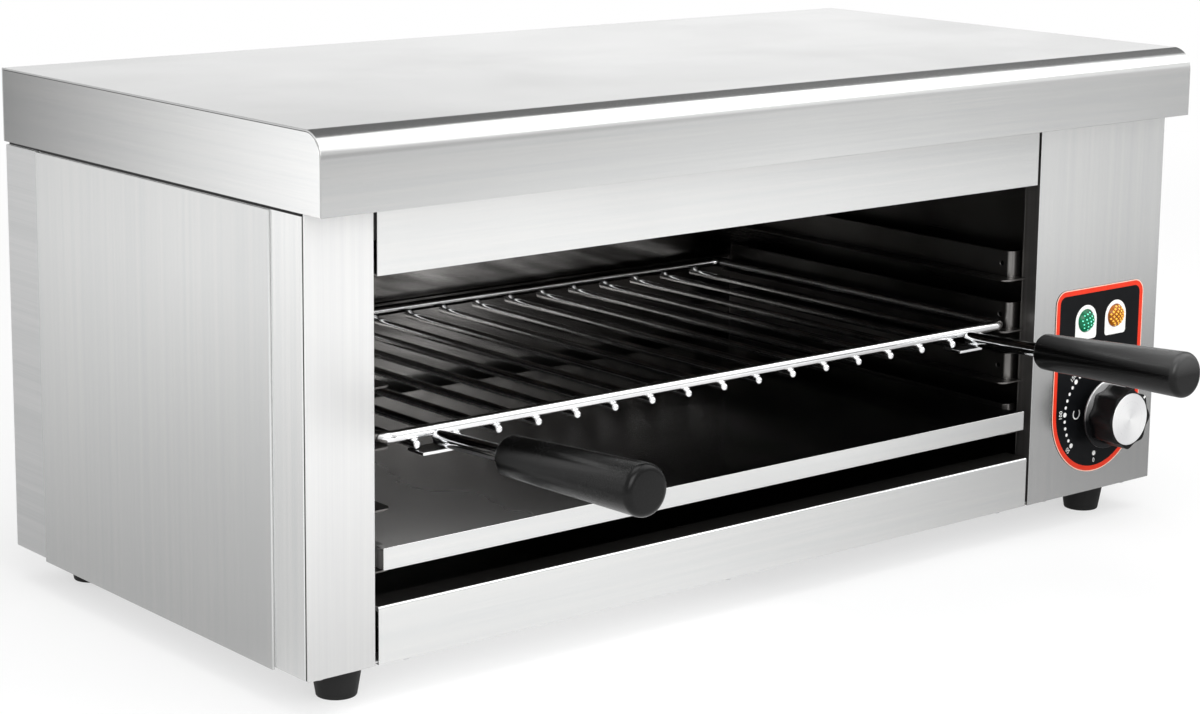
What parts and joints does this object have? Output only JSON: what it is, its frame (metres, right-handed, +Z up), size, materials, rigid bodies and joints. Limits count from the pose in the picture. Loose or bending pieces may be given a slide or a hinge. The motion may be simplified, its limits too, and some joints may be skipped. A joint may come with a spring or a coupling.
{
  "type": "cheese melter",
  "caption": "Open-front electric countertop grill with top heat, a sliding wire rack with two handles, a crumb tray, and a control panel with thermostat dial and lamps beside the opening.",
  "frame": {"origin": "middle of the whole outline's base, on the surface that the feet stand on", "axes": "+X to the right along the front, +Y to the back, +Z up"},
  "size_m": [0.61, 0.4456, 0.28],
  "materials": {
    "stainless": "brushed lengthways, satin",
    "stainless_inside": "satin, darkened by heat",
    "chrome": "bright plated",
    "insulation": "ceramic fibre felt",
    "element_sheath": "oxidised metal sheath",
    "brass": "turned",
    "ceramic": "glazed",
    "dial_print": "printed film",
    "lens_green": "clear tinted",
    "lens_amber": "clear tinted",
    "white_plastic": "moulded",
    "phenolic": "moulded",
    "black_plastic": "satin moulded",
    "aluminium": "turned face",
    "copper": "drawn tube",
    "wire_cover": "silicone sleeve",
    "rubber": "moulded"
  },
  "bodies": {
    "casing": {"hood_sheet": "stainless", "hood_end_left": "stainless", "hood_end_right": "stainless", "front_post": "stainless", "fascia": "stainless", "bottom_rail": "stainless", "control_panel": "stainless", "front_crossbar": "stainless", "side_frame_left": "stainless", "side_frame_right": "stainless", "side_cover_left": "stainless", "side_cover_right": "stainless", "back_panel": "stainless", "base_plate": "stainless", "floor_pan": "stainless_inside", "cavity_wall_left": "stainless_inside", "cavity_wall_right": "stainless_inside", "cavity_back": "stainless_inside", "cavity_ceiling": "stainless_inside", "insulation": "insulation", "guides_left": "stainless_inside", "guides_right": "stainless_inside", "element_front": "element_sheath", "element_rear": "element_sheath", "element_hangers": "stainless_inside", "element_nuts": "brass", "element_terminals": "ceramic", "dial_plate": "dial_print", "lamp_lens_green": "lens_green", "lamp_lens_amber": "lens_amber", "lamp_bodies": "white_plastic", "thermostat_body": "phenolic", "thermostat_screws": "chrome", "capillary_tube": "copper", "sensing_bulb": "chrome", "bulb_clips": "stainless_inside", "terminal_block": "ceramic", "wiring": "wire_cover", "earth_stud": "brass", "cable_gland": "black_plastic", "gland_nut": "black_plastic", "foot_front_left": "rubber", "foot_front_right": "rubber", "foot_rear_left": "rubber", "foot_rear_right": "rubber", "foot_screws": "chrome", "casing_screws": "chrome"},
    "rack": {"rack_frame": "chrome", "rack_wires": "chrome", "rack_brackets": "chrome", "handle_rod_left": "chrome", "handle_rod_right": "chrome", "grip_left": "black_plastic", "grip_right": "black_plastic"},
    "tray": {"crumb_tray": "stainless_inside"},
    "knob": {"thermostat_shaft": "brass", "knob_body": "black_plastic", "knob_ring": "chrome", "knob_cap": "aluminium", "knob_pointer": "white_plastic"}
  },
  "joints": [
    {"name": "rack_slide", "type": "slide", "parent": "casing", "child": "rack", "axis": [0, -1, 0], "range_m": [0, 0.2]},
    {"name": "tray_slide", "type": "slide", "parent": "casing", "child": "tray", "axis": [0, -1, 0], "range_m": [0, 0.2]},
    {"name": "knob_turn", "type": "hinge", "parent": "casing", "child": "knob", "pos_m": [0.2522, -0.07723, 0.0672], "axis": [0, -1, 0], "range_deg": [-42, 227]}
  ]
}
